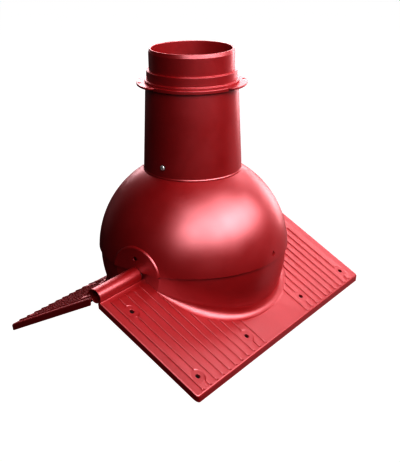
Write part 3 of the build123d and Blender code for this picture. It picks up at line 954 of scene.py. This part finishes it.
def plastic(name, dark, mid, light, rough=(0.33, 0.47), grain=1.0, ior=1.5, tint=(1, 1, 1)):
    """Moulded plastic: slow colour drift, flow mottling, fine grain and scuffs."""
    m, nt, b = nodes_of(name)
    N, L = nt.nodes, nt.links
    tc = N.new("ShaderNodeTexCoord")
    big = N.new("ShaderNodeTexNoise")
    big.inputs["Scale"].default_value = 5.0
    big.inputs["Detail"].default_value = 3.0
    fine = N.new("ShaderNodeTexNoise")
    fine.inputs["Scale"].default_value = 70.0
    fine.inputs["Detail"].default_value = 4.0
    mix = N.new("ShaderNodeMix")
    mix.inputs[0].default_value = 0.28
    L.new(tc.outputs["Object"], big.inputs["Vector"])
    L.new(tc.outputs["Object"], fine.inputs["Vector"])
    L.new(big.outputs["Fac"], mix.inputs[2])
    L.new(fine.outputs["Fac"], mix.inputs[3])
    ramp = N.new("ShaderNodeValToRGB")
    ramp.color_ramp.elements[0].position = 0.3
    ramp.color_ramp.elements[0].color = (*dark, 1)
    ramp.color_ramp.elements[1].position = 0.7
    ramp.color_ramp.elements[1].color = (*light, 1)
    e = ramp.color_ramp.elements.new(0.5)
    e.color = (*mid, 1)
    L.new(mix.outputs[0], ramp.inputs["Fac"])
    L.new(ramp.outputs["Color"], b.inputs["Base Color"])
    rr = N.new("ShaderNodeMapRange")
    rr.inputs["From Min"].default_value = 0.3
    rr.inputs["From Max"].default_value = 0.7
    rr.inputs["To Min"].default_value = rough[0]
    rr.inputs["To Max"].default_value = rough[1]
    scuff = N.new("ShaderNodeTexNoise")
    scuff.inputs["Scale"].default_value = 22.0
    scuff.inputs["Detail"].default_value = 6.0
    L.new(tc.outputs["Object"], scuff.inputs["Vector"])
    L.new(scuff.outputs["Fac"], rr.inputs["Value"])
    L.new(rr.outputs["Result"], b.inputs["Roughness"])
    g1 = N.new("ShaderNodeTexNoise")
    g1.inputs["Scale"].default_value = 900.0
    g1.inputs["Detail"].default_value = 2.0
    L.new(tc.outputs["Object"], g1.inputs["Vector"])
    bp = N.new("ShaderNodeBump")
    bp.inputs["Strength"].default_value = 0.22 * grain
    bp.inputs["Distance"].default_value = 0.00012
    L.new(g1.outputs["Fac"], bp.inputs["Height"])
    wav = N.new("ShaderNodeTexNoise")
    wav.inputs["Scale"].default_value = 9.0
    wav.inputs["Detail"].default_value = 1.0
    L.new(tc.outputs["Object"], wav.inputs["Vector"])
    bp2 = N.new("ShaderNodeBump")
    bp2.inputs["Strength"].default_value = 0.25
    bp2.inputs["Distance"].default_value = 0.0006
    L.new(wav.outputs["Fac"], bp2.inputs["Height"])
    L.new(bp.outputs["Normal"], bp2.inputs["Normal"])
    L.new(bp2.outputs["Normal"], b.inputs["Normal"])
    b.inputs["IOR"].default_value = ior
    b.inputs["Specular Tint"].default_value = (*tint, 1)
    return m


def steel(name, col, rough):
    m, nt, b = nodes_of(name)
    N, L = nt.nodes, nt.links
    tc = N.new("ShaderNodeTexCoord")
    n = N.new("ShaderNodeTexNoise")
    n.inputs["Scale"].default_value = 260.0
    n.inputs["Detail"].default_value = 5.0
    L.new(tc.outputs["Object"], n.inputs["Vector"])
    ramp = N.new("ShaderNodeValToRGB")
    ramp.color_ramp.elements[0].position = 0.3
    ramp.color_ramp.elements[0].color = (*[c * 0.8 for c in col], 1)
    ramp.color_ramp.elements[1].position = 0.7
    ramp.color_ramp.elements[1].color = (*col, 1)
    L.new(n.outputs["Fac"], ramp.inputs["Fac"])
    L.new(ramp.outputs["Color"], b.inputs["Base Color"])
    rr = N.new("ShaderNodeMapRange")
    rr.inputs["To Min"].default_value = rough - 0.08
    rr.inputs["To Max"].default_value = rough + 0.12
    L.new(n.outputs["Fac"], rr.inputs["Value"])
    L.new(rr.outputs["Result"], b.inputs["Roughness"])
    b.inputs["Metallic"].default_value = 0.7
    return m


def matt(name, dark, light, scale, bump, dist, rough=0.85, cells=False):
    m, nt, b = nodes_of(name)
    N, L = nt.nodes, nt.links
    tc = N.new("ShaderNodeTexCoord")
    if cells:
        n = N.new("ShaderNodeTexVoronoi")
        n.inputs["Scale"].default_value = scale
        out = n.outputs["Distance"]
    else:
        n = N.new("ShaderNodeTexNoise")
        n.inputs["Scale"].default_value = scale
        n.inputs["Detail"].default_value = 5.0
        out = n.outputs["Fac"]
    L.new(tc.outputs["Object"], n.inputs["Vector"])
    ramp = N.new("ShaderNodeValToRGB")
    ramp.color_ramp.elements[0].position = 0.25
    ramp.color_ramp.elements[0].color = (*dark, 1)
    ramp.color_ramp.elements[1].position = 0.75
    ramp.color_ramp.elements[1].color = (*light, 1)
    L.new(out, ramp.inputs["Fac"])
    L.new(ramp.outputs["Color"], b.inputs["Base Color"])
    bp = N.new("ShaderNodeBump")
    bp.inputs["Strength"].default_value = bump
    bp.inputs["Distance"].default_value = dist
    L.new(out, bp.inputs["Height"])
    L.new(bp.outputs["Normal"], b.inputs["Normal"])
    b.inputs["Roughness"].default_value = rough
    return m


RED = plastic("red_moulded_plastic", (0.31, 0.004, 0.007), (0.34, 0.005, 0.008), (0.37, 0.006, 0.010), (0.34, 0.42), 0.35, 3.0, (1.0, 0.62, 0.66))
STEEL = steel("stainless", (0.86, 0.85, 0.84), 0.42)
RUBBER = matt("epdm_rubber", (0.012, 0.012, 0.013), (0.03, 0.03, 0.032), 420.0, 0.3, 0.00015, 0.7)
# grey foam colour for the bands under the fixing holes, which stand in for painted shade seen through the holes
HOLE_SHADE_FOAM = matt("foam_hole_shade", (0.035, 0.035, 0.037), (0.10, 0.10, 0.105), 520.0, 0.6, 0.0006, 0.95, True)
NYLON = plastic("nylon", (0.68, 0.67, 0.62), (0.74, 0.73, 0.68), (0.80, 0.79, 0.75), (0.3, 0.42), 0.5)


def dress(ob, mat, slot, body, *nodes):
    ob.data.materials.clear()
    ob.data.materials.append(mat)
    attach(ob, body)
    if nodes:
        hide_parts(*nodes)
    return ob


dress(make_dome(), RED, "red_shell", "cowl", "dome_cowl")
dress(make_neck(), RED, "red_shell", "cowl", "neck_sleeve")
dress(make_ring(), RED, "red_shell", "cowl", "lug_ring")
dress(make_adapter(), RED, "red_shell", "cowl", "spigot_adapter")
dress(make_plate("right_flashing_fine", False), RED, "red_shell", "right_plate", "right_flashing")
dress(make_plate("left_flashing_fine", True), RED, "red_shell", "left_plate", "left_flashing")
# foam bands under the holes: a dark sheet where there is only shade, as painted shade seen through the holes
dress(make_hole_shade_foam("right_foam_hole_shade", False), HOLE_SHADE_FOAM, "grey_foam", "right_plate", "right_foam_seal")
dress(make_hole_shade_foam("left_foam_hole_shade", True), HOLE_SHADE_FOAM, "grey_foam", "left_plate", "left_foam_seal")
dress(make_trim("right_edge_trim", False), RUBBER, "black_rubber", "right_plate", "right_skirt_trim")
dress(make_trim("left_edge_trim", True), RUBBER, "black_rubber", "left_plate", "left_skirt_trim")

KEPT = {"neck_screws": STEEL, "pivot_bolts": STEEL, "pivot_head_washers": STEEL, "pivot_nut_washers": STEEL, "pivot_lock_nuts": STEEL,
        "neck_screw_washers": RUBBER, "spigot_seal": RUBBER,
        "pivot_friction_washers": NYLON, "right_hub_bushes": NYLON, "left_hub_bushes": NYLON}
for name, mat in KEPT.items():
    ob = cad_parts[name]
    ob.data.materials.clear()
    ob.data.materials.append(mat)

# ------------------------------------------------------------------ floor, light, camera
sc = bpy.context.scene
fm, fnt, fb = nodes_of("floor_pale")
fb.inputs["Base Color"].default_value = (0.02, 0.02, 0.02, 1)
fb.inputs["Roughness"].default_value = 1.0
fb.inputs["Specular IOR Level"].default_value = 0.0
fb.inputs["Emission Color"].default_value = (1, 1, 1, 1)
fb.inputs["Emission Strength"].default_value = 1.0
# the part straddles a roof ridge: at the steepest pitch its eaves hang 52 mm below their rest level, so the floor is below that
bpy.ops.mesh.primitive_plane_add(size=60, location=(0, 0, -0.06))
floor = bpy.context.object
floor.name = "floor"
floor.data.materials.append(fm)
floor.visible_diffuse = False
floor.visible_glossy = False
floor.visible_shadow = False

w = bpy.data.worlds.new("studio")
sc.world = w
w.use_nodes = True
wn, wl = w.node_tree.nodes, w.node_tree.links
bg = wn["Background"]
lp = wn.new("ShaderNodeLightPath")
bg2 = wn.new("ShaderNodeBackground")
bg2.inputs["Color"].default_value = (1, 1, 1, 1)
bg2.inputs["Strength"].default_value = 1.0
bg.inputs["Color"].default_value = (1, 1, 1, 1)
bg.inputs["Strength"].default_value = 0.012
mixs = wn.new("ShaderNodeMixShader")
wl.new(lp.outputs["Is Camera Ray"], mixs.inputs["Fac"])
wl.new(bg.outputs["Background"], mixs.inputs[1])
wl.new(bg2.outputs["Background"], mixs.inputs[2])
wl.new(mixs.outputs["Shader"], wn["World Output"].inputs["Surface"])

CEN = Vector((0, 0, 0.2))


def area(name, az, el, dist, size, power, size_y=None, target=CEN, color=(1, 1, 1), spread=pi):
    """Soft light at a compass angle and height round the object, aimed at it."""
    d = Vector((cos(radians(el)) * cos(radians(az)), cos(radians(el)) * sin(radians(az)), sin(radians(el))))
    ld = bpy.data.lights.new(name, "AREA")
    ld.shape = "RECTANGLE"
    ld.size = size
    ld.size_y = size_y or size
    ld.energy = power
    ld.color = color
    ld.spread = spread
    ob = bpy.data.objects.new(name, ld)
    sc.collection.objects.link(ob)
    ob.location = Vector(target) + d * dist
    ob.rotation_euler = (-d).to_track_quat("-Z", "Y").to_euler()
    return ob


def bank(name, spots, size, watts):
    """A run of equal soft boxes three metres out, side by side."""
    for i, (az, el) in enumerate(spots):
        area("%s_%d" % (name, i), az, el, 3.0, size, watts)


bank("front", [(257, 30), (283, 30)], 1.32, 28.0)
bank("front_right", [(309, 30)], 1.32, 27.0)
bank("front_left", [(206, 30), (231, 30)], 1.32, 20.0)
bank("high_front", [(216, 52), (252, 52), (288, 52)], 1.36, 19.0)
bank("back", [(0, 3), (26, 14), (51, 14)], 1.32, 27.0)
bank("back_high", [(0, 36), (26, 36), (51, 36)], 1.32, 14.0)
bank("right_low", [(324, -25), (0, -25)], 1.6, 4.0)
bank("right", [(334, 3), (334, 28)], 1.32, 3.4)
bank("back_left", [(77, 3), (77, 28)], 1.32, 1.4)

cam_d = bpy.data.cameras.new("cam")
cam = bpy.data.objects.new("cam", cam_d)
sc.collection.objects.link(cam)
sc.camera = cam
cam_d.sensor_width = 36.0
cam_d.sensor_fit = "AUTO"
cam_d.lens = 863.76 * 36.0 / 462.0
cam_d.clip_end = 100
yaw, pitch, roll = radians(-54.3), radians(21.74), radians(-0.41)
back = Vector((sin(yaw) * cos(pitch), -cos(yaw) * cos(pitch), sin(pitch)))
fwd = -back
right = fwd.cross(Vector((0, 0, 1))).normalized()
up = right.cross(fwd)
r2 = cos(roll) * right + sin(roll) * up
u2 = -sin(roll) * right + cos(roll) * up
rot = Matrix((r2, u2, back)).transposed()
cam.matrix_world = Matrix.Translation(Vector((-1.2276, -0.8973, 0.6323 + ZA * 0.001))) @ rot.to_4x4()

sc.view_settings.view_transform = "Standard"
sc.view_settings.look = "None"
sc.view_settings.exposure = 0.0
sc.view_settings.gamma = 0.62
